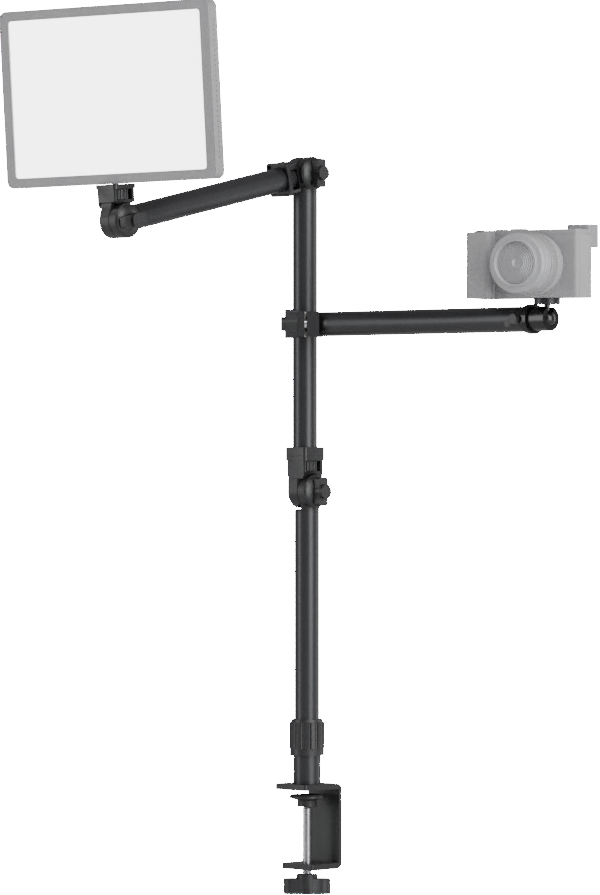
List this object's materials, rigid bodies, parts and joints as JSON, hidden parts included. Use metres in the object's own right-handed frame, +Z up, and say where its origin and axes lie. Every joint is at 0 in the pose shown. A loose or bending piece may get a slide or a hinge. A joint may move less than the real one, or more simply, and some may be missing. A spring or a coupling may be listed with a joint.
{
  "type": "desk stand with camera and panel light",
  "caption": "Desk-clamp stand with folding poles, an arm with a flat LED panel light and a sliding arm with a ball head and compact camera.",
  "frame": {"origin": "pole axis at the underside of the top jaw's pad, the face that rests on the desk", "axes": "+Z up along the poles, -Y out of the clamp's open end, +X along the camera arm"},
  "size_m": [0.4937, 0.3572, 0.8895],
  "materials": {
    "anodised": "satin black anodised tube",
    "cast_black": "fine black powder coat",
    "knob_plastic": "fine matte grain",
    "rubber": "matte",
    "steel": "bright turned steel",
    "dark_steel": "blackened",
    "bush_plastic": "natural acetal",
    "camera_shell": "fine grained silver grey",
    "camera_grip": "grained",
    "dial_metal": "knurled",
    "glass": "coated lens",
    "panel_shell": "fine matte grain",
    "diffuser": "milky acrylic",
    "board": "white solder mask with yellow emitters"
  },
  "bodies": {
    "clamp": {"clamp_frame": "cast_black", "jaw_pad": "rubber", "base_plug": "dark_steel", "base_tube": "anodised", "base_screws": "dark_steel", "collar_bush": "bush_plastic"},
    "foot": {"pressure_foot": "cast_black", "foot_pad": "rubber"},
    "screw": {"clamp_screw": "steel", "clamp_knob": "knob_plastic"},
    "collar": {"twist_collar": "knob_plastic"},
    "glide": {"pole_glide": "bush_plastic"},
    "lower_pole": {"lower_pole": "anodised", "lower_tongue": "cast_black"},
    "middle_knob": {"middle_bolt": "dark_steel", "middle_knob": "knob_plastic"},
    "upper_pole": {"middle_head": "cast_black", "middle_washer": "bush_plastic", "upper_cap": "cast_black", "upper_pole": "anodised", "upper_tongue": "cast_black"},
    "middle_wheel": {"middle_wheel": "knob_plastic"},
    "top_knob": {"top_bolt": "dark_steel", "top_knob": "knob_plastic"},
    "light_arm": {"top_head": "cast_black", "top_washer": "bush_plastic", "light_arm": "anodised", "light_tongue": "cast_black"},
    "top_wheel": {"top_wheel": "knob_plastic"},
    "panel_knob": {"panel_bolt": "dark_steel", "panel_knob": "knob_plastic"},
    "panel_head": {"panel_head": "cast_black", "panel_washer": "bush_plastic"},
    "panel_wheel": {"panel_wheel": "knob_plastic"},
    "panel": {"panel_frame": "panel_shell", "panel_diffuser": "diffuser", "panel_led_board": "board", "panel_back": "panel_shell"},
    "panel_dial": {"panel_dial": "knob_plastic"},
    "arm_liner": {"arm_liner": "bush_plastic"},
    "camera_arm": {"arm_clamp": "cast_black", "clamp_bush": "steel", "camera_arm": "anodised", "ball_socket": "dark_steel"},
    "arm_knob": {"arm_clamp_bolt": "dark_steel", "arm_clamp_knob": "knob_plastic"},
    "ball_lock": {"ball_lock": "knob_plastic"},
    "ball": {"ball_stem": "steel", "platform": "cast_black"},
    "camera": {"camera_body": "camera_shell", "camera_top": "camera_shell", "camera_grip": "camera_grip", "lens_barrel": "camera_shell", "lens_glass": "glass", "eyecup": "rubber"},
    "shutter_button": {"shutter_button": "dial_metal"},
    "mode_dial": {"mode_dial": "dial_metal"},
    "control_dial": {"control_dial": "dial_metal"},
    "zoom_ring": {"zoom_ring": "camera_grip"},
    "camera_screen": {"camera_screen": "camera_grip"}
  },
  "joints": [
    {"name": "screw_feed", "type": "slide", "parent": "clamp", "child": "foot", "axis": [0, 0, 1], "range_m": [-0.054, 0]},
    {"name": "screw_turn", "type": "hinge", "parent": "foot", "child": "screw", "pos_m": [0, 0, -0.05], "axis": [0, 0, 1], "range_deg": [-9730, 10]},
    {"name": "collar_turn", "type": "hinge", "parent": "clamp", "child": "collar", "pos_m": [0, 0, 0.05], "axis": [0, 0, 1], "range_deg": [-60, 0]},
    {"name": "pole_lift", "type": "slide", "parent": "clamp", "child": "glide", "axis": [0, 0, 1], "range_m": [0, 0.025]},
    {"name": "pole_turn", "type": "hinge", "parent": "glide", "child": "lower_pole", "pos_m": [0, 0, 0.1], "axis": [0, 0, 1], "continuous": true},
    {"name": "middle_knob_turn", "type": "hinge", "parent": "lower_pole", "child": "middle_knob", "pos_m": [0, 0, 0.30275], "axis": [1, 0, 0], "continuous": true},
    {"name": "middle_tilt", "type": "hinge", "parent": "lower_pole", "child": "upper_pole", "pos_m": [0, 0, 0.30275], "axis": [1, 0, 0], "range_deg": [-90, 90]},
    {"name": "middle_wheel_turn", "type": "hinge", "parent": "upper_pole", "child": "middle_wheel", "pos_m": [-0.0029, 0, 0.33275], "axis": [0, 0, 1], "continuous": true},
    {"name": "top_knob_turn", "type": "hinge", "parent": "upper_pole", "child": "top_knob", "pos_m": [-0.0029, 0, 0.62565], "axis": [1, 0, 0], "continuous": true},
    {"name": "top_tilt", "type": "hinge", "parent": "upper_pole", "child": "light_arm", "pos_m": [-0.0029, 0, 0.62565], "axis": [1, 0, 0], "range_deg": [-205, 5]},
    {"name": "top_wheel_turn", "type": "hinge", "parent": "light_arm", "child": "top_wheel", "pos_m": [-0.0058, -0.0293, 0.61921], "axis": [0, -0.9767, -0.2147], "continuous": true},
    {"name": "panel_knob_turn", "type": "hinge", "parent": "light_arm", "child": "panel_knob", "pos_m": [-0.0058, -0.25491, 0.5696], "axis": [1, 0, 0], "continuous": true},
    {"name": "panel_tilt", "type": "hinge", "parent": "light_arm", "child": "panel_head", "pos_m": [-0.0058, -0.25491, 0.5696], "axis": [1, 0, 0], "range_deg": [-8, 95]},
    {"name": "panel_wheel_turn", "type": "hinge", "parent": "panel_head", "child": "panel_wheel", "pos_m": [-0.0087, -0.25695, 0.59954], "axis": [0, -0.068, 0.9977], "continuous": true},
    {"name": "panel_pan", "type": "hinge", "parent": "panel_head", "child": "panel", "pos_m": [-0.0087, -0.25763, 0.60951], "axis": [0, -0.068, 0.9977], "range_deg": [-80, 45]},
    {"name": "panel_dial_turn", "type": "hinge", "parent": "panel", "child": "panel_dial", "pos_m": [0.0424, -0.22974, 0.63787], "axis": [-0.3256, 0.9433, 0.0643], "range_deg": [-150, 150]},
    {"name": "arm_slide", "type": "slide", "parent": "upper_pole", "child": "arm_liner", "axis": [0, 0, 1], "range_m": [-0.105, 0.11]},
    {"name": "arm_turn", "type": "hinge", "parent": "arm_liner", "child": "camera_arm", "pos_m": [-0.0029, 0, 0.47225], "axis": [0, 0, 1], "range_deg": [-40, 200]},
    {"name": "arm_knob_turn", "type": "hinge", "parent": "camera_arm", "child": "arm_knob", "pos_m": [0.01973, -0.02185, 0.47225], "axis": [0.6947, 0.7193, 0], "continuous": true},
    {"name": "lock_turn", "type": "hinge", "parent": "camera_arm", "child": "ball_lock", "pos_m": [0.3006, -0.016, 0.47225], "axis": [0, 1, 0], "range_deg": [-45, 45]},
    {"name": "ball_drop", "type": "hinge", "parent": "camera_arm", "child": "ball", "pos_m": [0.3288, 0, 0.47225], "axis": [0, 1, 0], "range_deg": [0, 90]},
    {"name": "camera_turn", "type": "hinge", "parent": "ball", "child": "camera", "pos_m": [0.3288, 0, 0.49225], "axis": [0, 0, 1], "continuous": true},
    {"name": "shutter_press", "type": "slide", "parent": "camera", "child": "shutter_button", "axis": [0, 0, 1], "range_m": [-0.0008, 0], "stiffness_N_per_m": 900, "springref_m": 0.0008},
    {"name": "mode_dial_turn", "type": "hinge", "parent": "camera", "child": "mode_dial", "pos_m": [0.29721, -0.00594, 0.5602], "axis": [0, 0, 1], "continuous": true},
    {"name": "control_dial_turn", "type": "hinge", "parent": "camera", "child": "control_dial", "pos_m": [0.27716, -0.00857, 0.5602], "axis": [0, 0, 1], "continuous": true},
    {"name": "zoom_turn", "type": "hinge", "parent": "camera", "child": "zoom_ring", "pos_m": [0.33433, -0.03379, 0.5245], "axis": [-0.2756, 0.9613, 0], "range_deg": [-35, 35]},
    {"name": "screen_tilt", "type": "hinge", "parent": "camera", "child": "camera_screen", "pos_m": [0.32297, 0.02033, 0.5402], "axis": [0.9613, 0.2756, 0], "range_deg": [0, 80]}
  ],
  "couplings": [
    {"joint": "screw_turn", "follows": "screw_feed", "rad_per_m": 3141.6}
  ]
}
